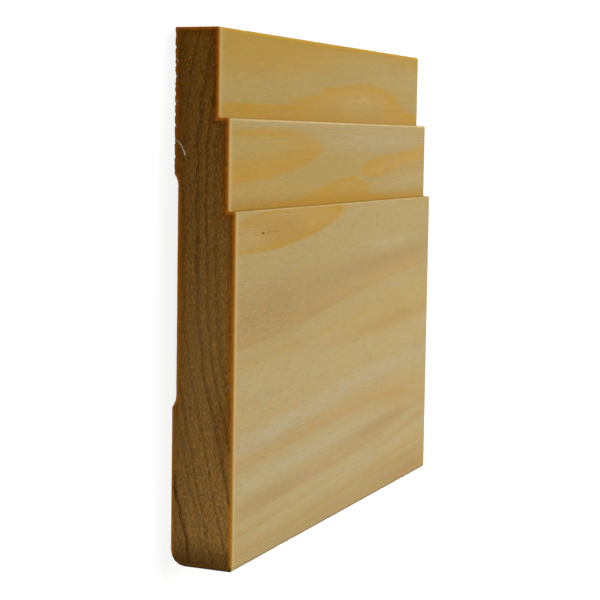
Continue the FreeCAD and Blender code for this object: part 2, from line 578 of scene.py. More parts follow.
# How the mottling and the blotches change the wood's colour
WARM_MOTTLE = (1.03, 0.965, 0.84, 1.0)
COOL_MOTTLE = (0.97, 1.035, 1.14, 1.0)
DULL_BLOTCH = (0.955, 0.955, 0.97, 1.0)
TINT_STREAKS = 0.45

# The cast of the whole face below the lower step and above it
CAST_BELOW = (0.957, 0.968, 1.03, 1.0)
CAST_ABOVE = (0.967, 0.989, 1.175, 1.0)
RESIN = paint(140, 104, 52)
PIT_BROWN = paint(92, 68, 30)
DASH_BROWN = paint(146, 106, 54)
# Painted highlight on the rounded arrises, where they face the light; at the face's left end also the paler
# splintered fibres
ARRIS_HIGHLIGHT = paint(208, 182, 126)
# The wood's gold line in each step's root, painted a little darker as the shade of the inner corner
ROOT_GOLD_AND_SHADE = paint(166, 124, 36)
# Painted light: the lower shelf made lighter where it faces the light
SHELF_PAINTED_LIGHT = paint(222, 180, 88)
# Painted light: the end's orange rim glow, carried round the left arris onto the face
ARRIS_RIM_GLOW = paint(158, 108, 26)
FLOOR_ARRIS_SHADE = paint(122, 102, 58)
GOLD_TOP_ARRIS = paint(196, 150, 20)
# The face a little more orange towards the left end
LEFT_END_TINT = paint(186, 150, 84)

# Softer colour in the wood that doesn't follow one ring: centre and reach in mm, rise of its
# axis per mm of length, how strong it is, its flatness as for the swells, and its colour
TINTS = {
    "gold above the upper step": ((66, 117, 12.4), (110, 2.4, 1.5), 0, 0.6, 1, (180, 135, 40)),
    "inside of the top hill": ((98, 123.5, 12.4), (25, 3.0, 1.5), 0, 0.6, 1, (186, 152, 86)),
    "right flank of the top hill": ((130, 121, 12.4), (12, 4, 1.5), -0.2, 0.5, 1, (188, 140, 50)),
    "torn back arris": ((0, 123, 0), (3.0, 21, 1.4), 0, 0.9, 3, (150, 92, 24)),
    "top edge": ((66, 140, 12.4), (100, 2.4, 3), 0, 0.85, 1, (178, 130, 26)),
    "pale upper right": ((142, 131.5, 12.4), (26, 3.5, 1.5), 0, 0.45, 1, (175, 152, 98)),
    "upper left": ((10, 134.5, 12.4), (62, 5.5, 2), 0.08, 0.6, 1.5, (171, 137, 54)),
    "below the upper step": ((76, 115.8, 15.4), (90, 2.0, 1), 0, 0.5, 1, (178, 157, 106)),
    "upper part of the middle band": ((108, 111.3, 15.4), (52, 3.6, 1), 0, 0.6, 1.2, (179, 158, 112)),
    "left tongue, upper branch": ((20, 113.6, 15.4), (32, 0.9, 1), 0, 0.35, 1, (174, 134, 48)),
    "pale right of the middle hill": ((130, 98.2, 15.4), (28, 3.2, 1), 0.05, 0.45, 1.5, (181, 157, 104)),
    "reddish lower left": ((14, 97.4, 15.4), (50, 3.2, 1), 0, 0.5, 1, (187, 148, 74)),
    "left tongue, lower branch": ((24, 102.4, 15.4), (34, 1.6, 1), 0.12, 0.5, 1, (182, 139, 52)),
    "left tongue, paler inside": ((12, 109.4, 15.4), (34, 3.2, 1), 0.02, 0.75, 2, (173, 147, 78)),
    "gold above the lower step": ((66, 93.5, 15.4), (110, 2.0, 1), 0, 0.85, 1, (171, 127, 26)),
    "foot of the middle hill": ((76, 93.5, 15.4), (28, 2.6, 1), 0, 0.5, 1, (180, 134, 34)),
    "corner above the lower tongue": ((2, 92, 17.5), (17, 1.7, 1), 0.1, 0.6, 1, (178, 152, 92)),
    "lower tongue, middle": ((32, 87, 17.5), (17, 3, 1), 0.04, 0.7, 1, (176, 135, 64)),
    "lower tongue, left": ((3, 85.5, 17.5), (15, 3.6, 1), 0, 0.75, 1.5, (180, 149, 90)),
    "lower tongue, right": ((54, 89.2, 17.5), (14, 2.4, 1), 0.05, 0.5, 1, (190, 148, 74)),
    "brown field, left": ((24, 66.6, 17.5), (36, 8.4, 4), 0.06, 0.75, 1.2, (168, 138, 82)),
    "brown streak": ((112, 74.2, 17.5), (52, 3.0, 4), 0.05, 0.65, 1, (168, 138, 86)),
    "pale above the brown streak": ((114, 79.5, 17.5), (26, 2.2, 4), 0.02, 0.6, 1, (182, 162, 118)),
    "pinkish right end of the middle band": ((128, 104.5, 15.4), (30, 1.8, 1), 0.1, 0.5, 1, (188, 150, 76)),
    "straw field": ((124, 59, 17.5), (40, 6, 4), 0.02, 0.5, 1.5, (180, 152, 86)),
    "line across the waist": ((116, 54.4, 17.5), (46, 2.2, 4), 0.04, 0.75, 1, (181, 144, 82)),
    "gold band on the left": ((30, 54.6, 17.5), (44, 1.8, 4), 0.06, 0.5, 1, (180, 150, 88)),
    "pale strip, left": ((34, 33.6, 17.5), (46, 2.6, 4), 0.09, 0.8, 1, (185, 167, 126)),
    "pale strip, right": ((112, 39.2, 17.5), (54, 2.8, 4), 0.04, 0.65, 1, (183, 165, 122)),
    "pale below the middle band": ((46, 22.8, 17.5), (66, 2.2, 4), 0.05, 0.75, 1, (184, 167, 124)),
    "gold below the middle band": ((128, 27.2, 17.5), (30, 1.6, 4), 0, 0.5, 1, (179, 147, 84)),
    "reddish streak": ((122, 29.6, 17.5), (16, 1.4, 4), 0, 0.6, 1, (186, 144, 80)),
    "dark streak near the floor": ((24, 15.8, 17.5), (17, 2.0, 4), 0.03, 0.5, 1.2, (171, 141, 88)),
    "pale above the floor": ((84, 12.8, 17.5), (52, 1.9, 4), 0.05, 0.6, 1, (185, 166, 120)),
    "brown streak near the floor": ((108, 21.8, 17.5), (28, 2.2, 4), 0.05, 0.6, 1, (172, 140, 88)),
    "line above the floor strip": ((128, 7.2, 17.5), (34, 1.7, 4), 0.02, 0.6, 1, (174, 142, 80)),
    "floor strip": ((64, 2.4, 17.5), (100, 3.2, 4), 0.02, 0.5, 1, (173, 141, 82)),
    "brown floor corner": ((138, 2.0, 17.5), (26, 3.0, 4), 0.05, 0.5, 1, (168, 130, 68)),
}

# Colours of the sawn ends. The end is painted darker and more orange towards its top edge: partly painted
# shade, partly the end grain's own colour.
SAWN_BELOW = paint(160, 118, 56)
SAWN_ABOVE = paint(124, 82, 22)
SAWN_RING = paint(84, 52, 14)
# The rim colours are painted light: the orange glow where light comes through the thin wood at the edge,
# darker towards the top
SAWN_RIM_BELOW = paint(208, 132, 20)
SAWN_RIM_ABOVE = paint(192, 106, 4)
SAWN_FLECK = paint(186, 156, 104)
# Painted shade along the end's floor edge
SAWN_FOOT_SHADE = paint(84, 52, 14)
# Painted shade on the arris along the end's floor edge
FOOT_SHADE_LINE = paint(48, 30, 12)
# Painted glow of light through the thin edge, a little inside the rim, as multipliers of the wood's colour
RIM_GLOW_BELOW = (1.08, 0.87, 0.42, 1.0)
RIM_GLOW_ABOVE = (0.82, 0.58, 0.2, 1.0)
WARM_SPECK = (1.08, 0.95, 0.68, 1.0)
COOL_SPECK = (0.92, 1.05, 1.35, 1.0)
SAWN_STAIN = paint(122, 72, 22)
TORN_WOOD = paint(224, 212, 184)
END_TINTS = {
    "beside the back relief": ((0, 72, RELIEF_DEPTH), (40, 32, 1.7), 0.6, 1.5, (164, 102, 12)),
    "along the torn back arris": ((0, 123, 0.0), (40, 20, 1.2), 0.85, 2, (162, 98, 12)),
    "middle of the end": ((0, 58, 8.0), (40, 18, 4.5), 0.3, 1, (160, 122, 62)),
}


def board_place():
    """The place on the board in mm from its left end, floor edge and back lands."""
    tree, bench, given, result = new_group("board place", {}, {"Position": VECTOR})
    metres = bench.add("ShaderNodeTexCoord").outputs["Object"]
    steps = bench.vector("MULTIPLY_ADD", metres, (1 / MM,) * 3, tuple(-low / MM))
    bench.feed(result["Position"], steps)
    return tree


def growth_swell():
    """One swell in the growth rings: how far it moves them outward."""
    tree, bench, given, result = new_group(
        "growth swell",
        {
            "Position": VECTOR,
            "Centre": VECTOR,
            "Reach": VECTOR,
            "Rise": NUMBER,
            "Height": NUMBER,
            "Flatness": NUMBER,
        },
        {"Lift": NUMBER},
    )
    away = bench.vector("SUBTRACT", given["Position"], given["Centre"])
    x = bench.vector("DOT_PRODUCT", away, (1, 0, 0))
    climb = bench.add("ShaderNodeCombineXYZ")
    bench.feed(climb.inputs["Y"], bench.math("MULTIPLY", x, given["Rise"]))
    off_axis = bench.vector("SUBTRACT", away, climb.outputs[0])
    shares = bench.vector("DIVIDE", off_axis, given["Reach"])
    far = bench.vector("DOT_PRODUCT", shares, shares)
    flattened = bench.math("POWER", far, given["Flatness"])
    fall = bench.math("EXPONENT", bench.math("MULTIPLY", flattened, -1.0))
    bench.feed(result["Lift"], bench.math("MULTIPLY", fall, given["Height"]))
    return tree


def fibres():
    """Streaks along the grain as a value round 0, from -1 to 1."""
    tree, bench, given, result = new_group(
        "fibres",
        {"Position": VECTOR, "Length": NUMBER, "Width": NUMBER, "Detail": NUMBER},
        {"Streak": NUMBER},
    )
    size = bench.add("ShaderNodeCombineXYZ")
    for axis, given_size in (("X", "Length"), ("Y", "Width"), ("Z", "Width")):
        bench.feed(size.inputs[axis], given[given_size])
    grain = bench.vector("DIVIDE", given["Position"], size.outputs[0])
    texture = bench.add("ShaderNodeTexNoise")
    bench.feed(texture.inputs["Vector"], grain)
    bench.feed(texture.inputs["Scale"], 1.0)
    bench.feed(texture.inputs["Detail"], given["Detail"])
    streak = bench.math("MULTIPLY_ADD", texture.outputs[0], 4.0, -2.0)
    bench.feed(result["Streak"], bench.math("MAXIMUM", bench.math("MINIMUM", streak, 1.0), -1.0))
    return tree


def growth_rings(swell_group, fibre_group):
    """The growth rings at a place: how dark the latewood is, its colour, how far the place lies
    through its ring, how strong that ring's line is on the ends, and its distance outward."""
    tree, bench, given, result = new_group(
        "growth rings",
        {"Position": VECTOR},
        {
            "Latewood": NUMBER,
            "Tone": COLOUR,
            "Share": NUMBER,
            "End line": NUMBER,
            "Outward": NUMBER,
        },
    )
    place = given["Position"]
    parts = bench.parts(place)

    def slope(operation_value, steepness):
        bend = bench.add("ShaderNodeMath", operation="SMOOTH_MAX")
        for socket, value in zip(bend.inputs, (operation_value, 0.0, SLOPE_SOFTNESS)):
            bench.feed(socket, value)
        return bench.math("MULTIPLY", bend.outputs[0], steepness)

    outward = bench.math("MULTIPLY", parts["Z"], -1.0)
    below_middle = bench.math("SUBTRACT", MIDDLE_FROM, parts["Y"])
    below_bend = bench.math("SUBTRACT", FLOOR_FROM, parts["Y"])
    above_bend = bench.math("SUBTRACT", parts["Y"], TOP_FROM)
    for height, steepness in (
        (below_middle, MIDDLE_SLOPE),
        (below_bend, FLOOR_SLOPE),
        (above_bend, TOP_SLOPE),
    ):
        outward = bench.math("ADD", outward, slope(height, steepness))
    for centre, reach, rise, lift, flatness in SWELLS.values():
        swell_lift = bench.place(
            swell_group,
            Position=place,
            Centre=centre,
            Reach=reach,
            Rise=rise,
            Height=lift,
            Flatness=flatness,
        )["Lift"]
        outward = bench.math("ADD", outward, swell_lift)
    for fibre_length, fibre_width, waver in ((34.0, 5.0, RING_WAVER), (9.0, 0.8, RING_WAVER / 4)):
        streak = bench.place(
            fibre_group, Position=place, Length=fibre_length, Width=fibre_width, Detail=1.0
        )["Streak"]
        outward = bench.math("MULTIPLY_ADD", streak, waver, outward)
    wander = bench.place(fibre_group, Position=place, Length=46.0, Width=9.0, Detail=1.0)
    wandering = bench.ramp(parts["Z"], 14.5, 8.0, 0.0, RING_WANDER)
    outward = bench.math("MULTIPLY_ADD", wander["Streak"], wandering, outward)
    ripple = bench.place(fibre_group, Position=place, Length=40.0, Width=2.4, Detail=1.0)
    rippling = bench.ramp(parts["Z"], 14.5, 11.0, 0.0, RING_RIPPLE)
    outward = bench.math("MULTIPLY_ADD", ripple["Streak"], rippling, outward)

    number = 0.0
    start, line, tone = RINGS[0][1:]
    for inner, outer in zip(RINGS, RINGS[1:]):
        through = bench.ramp(outward, inner[0], outer[0])
        number = bench.math("ADD", number, through)
        reached = bench.math("GREATER_THAN", outward, inner[0])
        start = bench.grade(reached, start, outer[1])
        line = bench.grade(reached, line, outer[2])
        tone = bench.blend(reached, tone, outer[3])
    share = bench.math("FRACT", number)
    past_start = bench.math("SUBTRACT", share, start)
    risen = bench.math("DIVIDE", past_start, bench.math("SUBTRACT", 0.95, start))
    risen = bench.math("POWER", bench.math("MAXIMUM", risen, 0.0), 1.2)
    falling = bench.ramp(share, 0.0, RING_EDGE, 0.8, 0.0)
    latewood = bench.math("MINIMUM", bench.math("MAXIMUM", risen, falling), 1.0)
    bench.feed(result["Latewood"], latewood)
    bench.feed(result["Tone"], tone)
    bench.feed(result["Share"], share)
    bench.feed(result["End line"], line)
    bench.feed(result["Outward"], outward)
    return tree


def resin_canals():
    """Short fine resin lines that lie along the grain here and there."""
    tree, bench, given, result = new_group(
        "resin canals",
        {"Position": VECTOR, "Length": NUMBER, "Width": NUMBER, "Amount": NUMBER},
        {"Mask": NUMBER},
    )
    size = bench.add("ShaderNodeCombineXYZ")
    for axis, given_size in (("X", "Length"), ("Y", "Width"), ("Z", "Width")):
        bench.feed(size.inputs[axis], given[given_size])
    grain = bench.vector("DIVIDE", given["Position"], size.outputs[0])
    cells = bench.add("ShaderNodeTexVoronoi")
    bench.feed(cells.inputs["Vector"], grain)
    bench.feed(cells.inputs["Scale"], 1.0)
    chosen = bench.math("LESS_THAN", bench.parts(cells.outputs["Color"])["X"], given["Amount"])
    line = bench.ramp(cells.outputs["Distance"], 0.12, 0.42, 1.0, 0.0, "SMOOTHSTEP")
    bench.feed(result["Mask"], bench.math("MULTIPLY", chosen, line))
    return tree


def depth_from_outline():
    """How deep a place on a sawn end lies inside the section's outline, in mm."""
    tree, bench, given, result = new_group(
        "depth from outline", {"Position": VECTOR}, {"Depth": NUMBER}
    )
    parts = bench.parts(given["Position"])
    depth = None
    for shelf, face in (
        (LOWER_SHELF, THICKNESS),
        (UPPER_SHELF, MIDDLE_FACE),
        (HEIGHT, TOP_FACE),
    ):
        below_shelf = bench.math("SUBTRACT", shelf, parts["Y"])
        below_face = bench.math("SUBTRACT", face, parts["Z"])
        within = bench.math("MINIMUM", below_shelf, below_face)
        depth = within if depth is None else bench.math("MAXIMUM", depth, within)
    ramp_up = bench.ramp(parts["Y"], RELIEF_LOW, RELIEF_LOW + RELIEF_RAMP, 0.0, RELIEF_DEPTH)
    ramp_down = bench.ramp(parts["Y"], RELIEF_HIGH - RELIEF_RAMP, RELIEF_HIGH, 0.0, RELIEF_DEPTH)
    back = bench.math("SUBTRACT", ramp_up, ramp_down)
    depth = bench.math("MINIMUM", depth, bench.math("SUBTRACT", parts["Z"], back))
    depth = bench.math("MINIMUM", depth, parts["Y"])
    bench.feed(result["Depth"], depth)
    return tree


def along_arris():
    """How near a place lies to an arris or a root that runs the length of the board, from 1 on
    it to 0 at the reach."""
    tree, bench, given, result = new_group(
        "along an arris",
        {"Position": VECTOR, "Y": NUMBER, "Z": NUMBER, "Reach": NUMBER},
        {"Mask": NUMBER},
    )
    parts = bench.parts(given["Position"])
    y = bench.math("SUBTRACT", parts["Y"], given["Y"])
    z = bench.math("SUBTRACT", parts["Z"], given["Z"])
    far = bench.math("SQRT", bench.math("ADD", bench.math("MULTIPLY", y, y), bench.math("MULTIPLY", z, z)))
    share = bench.math("DIVIDE", far, given["Reach"])
    bench.feed(result["Mask"], bench.ramp(share, 0.35, 1.0, 1.0, 0.0, "SMOOTHSTEP"))
    return tree


def new_material(name):
    """A node material with its Principled shader. Returns it, its bench and the shader's
    inputs."""
    material = bpy.data.materials.new(name)
    material.use_nodes = True
    bench = Bench(material.node_tree)
    shader = material.node_tree.nodes["Principled BSDF"]
    return material, bench, shader.inputs


def raise_surface(bench, inputs, height):
    """Feeds a height in mm to the shader's normal."""
    bump = bench.add("ShaderNodeBump")
    bench.feed(bump.inputs["Distance"], MM)
    bench.feed(bump.inputs["Height"], height)
    bench.feed(inputs["Normal"], bump.outputs[0])


def planed_pine(groups):
    """The machined long sides: the figure of the growth rings, with fibres and resin lines."""
    material, bench, inputs = new_material("planed_pine")
    place = bench.place(groups["place"])["Position"]
    rings = bench.place(groups["rings"], Position=place)
    parts = bench.parts(place)

    towards_shelf = bench.ramp(parts["Y"], *PALE_SHELF, kind="SMOOTHSTEP")
    pale = bench.blend(towards_shelf, PALE_BELOW, PALE_SHELF_COLOUR)
    above_shelf = bench.ramp(parts["Y"], *PALE_STEP, kind="SMOOTHSTEP")
    pale = bench.blend(above_shelf, pale, PALE_ABOVE)
    golden = bench.ramp(parts["Y"], *GOLD_STEP, kind="SMOOTHSTEP")
    tone = bench.blend(golden, rings["Tone"], GOLD_LATEWOOD)
    uneven = bench.place(groups["fibres"], Position=place, Length=22.0, Width=3.0, Detail=3.0)
    strength = bench.math("MULTIPLY_ADD", uneven["Streak"], 0.16, 0.9)
    latewood = bench.math("MULTIPLY", rings["Latewood"], strength, clamp=True)
    wood = bench.blend(latewood, pale, tone)

    coarse = bench.place(groups["fibres"], Position=place, Length=8.0, Width=0.55, Detail=3.0)
    streaked = bench.math("MULTIPLY_ADD", coarse["Streak"], TINT_STREAKS, 1.0)
    for centre, reach, rise, strength, flatness, colour in TINTS.values():
        tint = bench.place(
            groups["swell"],
            Position=place,
            Centre=centre,
            Reach=reach,
            Rise=rise,
            Height=strength,
            Flatness=flatness,
        )["Lift"]
        wood = bench.blend(bench.math("MULTIPLY", tint, streaked, clamp=True), wood, paint(*colour))

    blotch = bench.place(groups["fibres"], Position=place, Length=30.0, Width=7.0, Detail=2.0)
    mottle = bench.place(groups["fibres"], Position=place, Length=3.6, Width=1.3, Detail=2.0)
    warmth = bench.math("MULTIPLY_ADD", mottle["Streak"], 0.5, 0.5)
    wood = bench.vector("MULTIPLY", wood, bench.blend(warmth, COOL_MOTTLE, WARM_MOTTLE))
    dulled = bench.ramp(blotch["Streak"], 0.0, 1.0)
    wood = bench.vector("MULTIPLY", wood, bench.blend(dulled, (1, 1, 1, 1), DULL_BLOTCH))

    # The face tinted a little more orange within 5 mm of the left end
    tinted_zone = bench.ramp(parts["X"], 0.0, 5.0, 0.25, 0.0, "SMOOTHSTEP")
    wood = bench.blend(tinted_zone, wood, LEFT_END_TINT)

    fine = bench.place(groups["fibres"], Position=place, Length=1.8, Width=0.42, Detail=2.0)
    speckled = bench.place(
        groups["swell"],
        Position=place,
        Centre=(24.0, 65.5, THICKNESS),
        Reach=(30.0, 8.0, 4.0),
        Rise=0.08,
        Height=0.05,
        Flatness=1.5,
    )
    fine_strength = bench.ramp(parts["X"], 8.0, 70.0, 0.08, 0.05)
    fine_strength = bench.math("ADD", fine_strength, speckled["Lift"])
    shade = bench.math("MULTIPLY_ADD", coarse["Streak"], 0.035, 1.0)
    shade = bench.math("MULTIPLY_ADD", fine["Streak"], fine_strength, shade)
    wood = bench.shade(wood, shade)
    wood = bench.vector("MULTIPLY", wood, bench.blend(above_shelf, CAST_BELOW, CAST_ABOVE))

    canals = bench.place(groups["canals"], Position=place, Length=5.5, Width=0.55, Amount=0.02)
    canal_share = bench.math("MULTIPLY", canals["Mask"], 0.25)
    wood = bench.blend(canal_share, wood, RESIN)

    # Along the roots and arrises: gold in the step roots, partly painted shade of the inner corners;
    # painted light on the lower shelf; painted highlights on the two shelf arrises; painted shade on the
    # floor-edge arris; gold on the top arris. Each is made uneven along the grain.
    for y, z, reach, strength, colour in (
        (LOWER_SHELF, MIDDLE_FACE, 0.75, 0.7, ROOT_GOLD_AND_SHADE),
        (LOWER_SHELF, MIDDLE_FACE + 1.1, 0.8, 0.8, SHELF_PAINTED_LIGHT),
        (UPPER_SHELF, TOP_FACE, 0.6, 0.4, ROOT_GOLD_AND_SHADE),
        (UPPER_SHELF, MIDDLE_FACE, 0.8, 0.9, ARRIS_HIGHLIGHT),
        (LOWER_SHELF, THICKNESS, 0.65, 0.5, ARRIS_HIGHLIGHT),
        (0.0, THICKNESS, 0.8, 0.9, FLOOR_ARRIS_SHADE),
        (HEIGHT, TOP_FACE, 1.0, 0.85, GOLD_TOP_ARRIS),
    ):
        arris = bench.place(groups["arris"], Position=place, Y=y, Z=z, Reach=reach)["Mask"]
        varied = bench.math("MULTIPLY_ADD", coarse["Streak"], 0.3, strength)
        wood = bench.blend(bench.math("MULTIPLY", arris, varied, clamp=True), wood, colour)
    # Painted highlight along the face's left arris, and the paler splintered fibres there
    left_arris = bench.ramp(parts["X"], 0.8, 2.8, 1.0, 0.0, "SMOOTHSTEP")
    below_top_band = bench.ramp(parts["Y"], UPPER_SHELF - 1, UPPER_SHELF + 1, 0.48, 0.28)
    wood = bench.blend(bench.math("MULTIPLY", left_arris, below_top_band), wood, ARRIS_HIGHLIGHT)
    # The end's orange rim glow, painted round the left arris onto the face within about a millimetre of the
    # end
    from_end = bench.math("MULTIPLY_ADD", coarse["Streak"], 0.15, parts["X"])
    rim_glow_share = bench.ramp(from_end, 0.35, 1.1, 0.85, 0.0, "SMOOTHSTEP")
    wood = bench.blend(rim_glow_share, wood, ARRIS_RIM_GLOW)

    for x, y, length, strength in GRAIN_DASHES:
        dash = bench.place(
            groups["swell"],
            Position=place,
            Centre=(x, y, THICKNESS),
            Reach=(length / 2, DASH_WIDTH, 1.0),
            Rise=0.0,
            Height=strength,
            Flatness=1.0,
        )
        wood = bench.blend(dash["Lift"], wood, DASH_BROWN)
    pit = bench.place(
        groups["swell"],
        Position=place,
        Centre=PIT,
        Reach=tuple(PIT_REACH),
        Rise=0.0,
        Height=1.0,
        Flatness=2.0,
    )
    wood = bench.blend(pit["Lift"], wood, PIT_BROWN)
    bench.feed(inputs["Base Color"], wood)

    roughness = bench.math("MULTIPLY_ADD", fine["Streak"], 0.05, 0.58)
    roughness = bench.math("MULTIPLY_ADD", latewood, -0.08, roughness)
    bench.feed(inputs["Roughness"], roughness)
    bench.feed(inputs["Specular IOR Level"], WOOD_SHEEN)

    height = bench.math("MULTIPLY", coarse["Streak"], 0.006)
    height = bench.math("MULTIPLY_ADD", fine["Streak"], 0.004, height)
    height = bench.math("MULTIPLY_ADD", latewood, 0.015, height)
    raise_surface(bench, inputs, height)
    return material


def sawn_end_grain(groups):
    """The sawn ends: thin ring lines, rough cut fibres and saw streaks, with painted shade towards the top
    and along the floor edge, and a ragged rim painted with the orange glow of light coming through the thin
    edge.
    """
    material, bench, inputs = new_material("sawn_end_grain")
    place = bench.place(groups["place"])["Position"]
    rings = bench.place(groups["rings"], Position=place)
    parts = bench.parts(place)

    # Darker towards the top edge: partly painted shade, partly the end grain's own colour
    upper = bench.ramp(parts["Y"], 15.0, 130.0)
    wood = bench.blend(upper, SAWN_BELOW, SAWN_ABOVE)

    rise = bench.ramp(rings["Share"], 0.3, 0.82, kind="SMOOTHSTEP")
    fall = bench.ramp(rings["Share"], 0.85, 1.0, kind="SMOOTHSTEP")
    ring_line = bench.math("SUBTRACT", rise, fall)
    broken = bench.place(groups["fibres"], Position=place, Length=20.0, Width=4.0, Detail=3.0)
    ring_share = bench.math("MULTIPLY_ADD", broken["Streak"], 0.2, 0.4)
    ring_share = bench.math("MULTIPLY", ring_share, rings["End line"])
    wood = bench.blend(bench.math("MULTIPLY", ring_share, ring_line, clamp=True), wood, SAWN_RING)

    tinted_zone = bench.place(
        groups["swell"],
        Position=place,
        Centre=(0.0, 36.5, 14.6),
        Reach=(40.0, 8.0, 2.8),
        Rise=0.0,
        Height=0.7,
        Flatness=1.3,
    )
    stain_share = bench.math("MULTIPLY_ADD", broken["Streak"], 0.5, 0.9)
    stain_share = bench.math("MULTIPLY", tinted_zone["Lift"], stain_share, clamp=True)
    wood = bench.blend(stain_share, wood, SAWN_STAIN)
    # Painted shade towards the end's floor edge
    foot = bench.ramp(parts["Y"], 0.4, 9.0, 0.85, 0.0, "SMOOTHSTEP")
    wood = bench.blend(foot, wood, SAWN_FOOT_SHADE)

    follow = bench.add("ShaderNodeCombineXYZ")
    bench.feed(follow.inputs["X"], parts["Y"])
    bench.feed(follow.inputs["Y"], rings["Outward"])
    bench.feed(follow.inputs["Z"], parts["X"])
    cut = follow.outputs[0]
    lines = bench.place(groups["fibres"], Position=cut, Length=4.0, Width=0.5, Detail=2.0)
    specks = bench.place(groups["fibres"], Position=cut, Length=0.9, Width=0.42, Detail=3.0)
    flecks = bench.place(groups["fibres"], Position=cut, Length=2.6, Width=0.9, Detail=2.0)
    clouds = bench.place(groups["fibres"], Position=place, Length=8.0, Width=4.0, Detail=2.0)
    shade = bench.math("MULTIPLY_ADD", lines["Streak"], 0.2, 1.0)
    shade = bench.math("MULTIPLY_ADD", specks["Streak"], 0.42, shade)
    shade = bench.math("MULTIPLY_ADD", clouds["Streak"], 0.08, shade)
    wood = bench.shade(wood, shade)
    bright = bench.ramp(specks["Streak"], 0.3, 1.0, 0.0, 0.35)
    wood = bench.blend(bright, wood, SAWN_FLECK)
    warmth = bench.math("MULTIPLY_ADD", flecks["Streak"], 0.5, 0.5)
    wood = bench.vector("MULTIPLY", wood, bench.blend(warmth, COOL_SPECK, WARM_SPECK))

    depth = bench.place(groups["depth"], Position=place)["Depth"]
    ragged = bench.place(groups["fibres"], Position=place, Length=2.0, Width=1.3, Detail=3.0)
    frayed = bench.math("MULTIPLY_ADD", specks["Streak"], 0.12, depth)
    frayed = bench.math("MULTIPLY_ADD", ragged["Streak"], 0.3, frayed)
    above_foot = bench.ramp(parts["Y"], 0.4, 1.8)
    # Painted glow of light through the thin edge, a little inside the rim
    inner_rim = bench.ramp(frayed, 0.9, 3.2, 1.0, 0.0, "SMOOTHSTEP")
    inner_rim = bench.math("MULTIPLY", inner_rim, bench.ramp(parts["Y"], 20.0, 60.0, 0.2, 1.0))
    inner_rim = bench.math("MULTIPLY", inner_rim, bench.ramp(parts["Z"], 2.0, 6.0, 0.55, 1.0))
    rim_glow = bench.blend(upper, RIM_GLOW_BELOW, RIM_GLOW_ABOVE)
    wood = bench.vector("MULTIPLY", wood, bench.blend(inner_rim, (1, 1, 1, 1), rim_glow))
    for centre, reach, strength, flatness, colour in END_TINTS.values():
        tint = bench.place(
            groups["swell"],
            Position=place,
            Centre=centre,
            Reach=reach,
            Rise=0.0,
            Height=strength,
            Flatness=flatness,
        )["Lift"]
        uneven = bench.math("MULTIPLY_ADD", ragged["Streak"], 0.35, 0.9)
        share = bench.math("MULTIPLY", tint, uneven, clamp=True)
        wood = bench.blend(share, wood, paint(*colour))
    # The rim itself painted with the orange glow of light through the thin edge
    rim = bench.ramp(frayed, 0.2, 1.0, 0.9, 0.0, "SMOOTHSTEP")
    rim_colour = bench.blend(upper, SAWN_RIM_BELOW, SAWN_RIM_ABOVE)
    wood = bench.blend(bench.math("MULTIPLY", rim, above_foot), wood, rim_colour)
    # A dark line of painted shade on the end's floor-edge arris
    foot_shade_line = bench.ramp(parts["Y"], 0.2, 0.6, 0.75, 0.0, "SMOOTHSTEP")
    wood = bench.blend(foot_shade_line, wood, FOOT_SHADE_LINE)
    bench.feed(inputs["Base Color"], wood)

    bench.feed(inputs["Roughness"], bench.math("MULTIPLY_ADD", specks["Streak"], 0.08, 0.8))
    bench.feed(inputs["Specular IOR Level"], WOOD_SHEEN)
    height = bench.math("MULTIPLY", lines["Streak"], 0.02)
    height = bench.math("MULTIPLY_ADD", specks["Streak"], 0.03, height)
    raise_surface(bench, inputs, height)
    return material


def torn_pine(groups):
    """The pale inside of a torn fibre."""
    material, bench, inputs = new_material("torn_pine")
    place = bench.place(groups["place"])["Position"]
    streaks = bench.place(groups["fibres"], Position=place, Length=0.5, Width=0.15, Detail=2.0)
    shade = bench.math("MULTIPLY_ADD", streaks["Streak"], 0.12, 1.0)
    bench.feed(inputs["Base Color"], bench.shade(TORN_WOOD[:3], shade))
    bench.feed(inputs["Roughness"], bench.math("MULTIPLY_ADD", streaks["Streak"], 0.05, 0.75))
    bench.feed(inputs["Specular IOR Level"], TORN_SHEEN)
    raise_surface(bench, inputs, bench.math("MULTIPLY", streaks["Streak"], 0.02))
    return material


# Pieces


def add_piece(name, mesh, materials):
    """Puts a finished mesh in the scene as a piece of the object."""
    data = bpy.data.meshes.new(name)
    mesh.to_mesh(data)
    mesh.free()
    piece = bpy.data.objects.new(name, data)
    bpy.context.scene.collection.objects.link(piece)
    for material in materials:
        data.materials.append(material)
    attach(piece, "root")
    return piece


# The torn fibres on the left end: (Y, Z, half width) along each. The long one ends in a small
# tuft, and the short ones stick out at the back arris.
TORN_PATHS = [
    [
        (111.2, 0.2, 0.06),
        (110.9, 0.7, 0.12),
        (110.5, 1.2, 0.14),
        (110.0, 1.65, 0.15),
        (109.4, 2.1, 0.15),
        (108.7, 2.5, 0.16),
        (108.1, 2.78, 0.20),
        (107.6, 2.98, 0.27),
        (107.25, 3.1, 0.25),
        (107.0, 3.18, 0.08),
    ],
    [(131.9, 0.1, 0.04), (131.6, 0.4, 0.1), (131.2, 0.75, 0.12), (130.9, 1.2, 0.04)],
    [(127.6, 0.1, 0.04), (127.5, 0.35, 0.12), (127.1, 0.7, 0.06)],
    [(121.3, 0.08, 0.04), (121.0, 0.4, 0.1), (120.7, 0.8, 0.05)],
    [(114.6, 0.08, 0.04), (114.3, 0.3, 0.09), (114.2, 0.6, 0.04)],
]
TORN_SIDES = 10
TORN_STEPS = 5
TORN_PROUD = 0.55


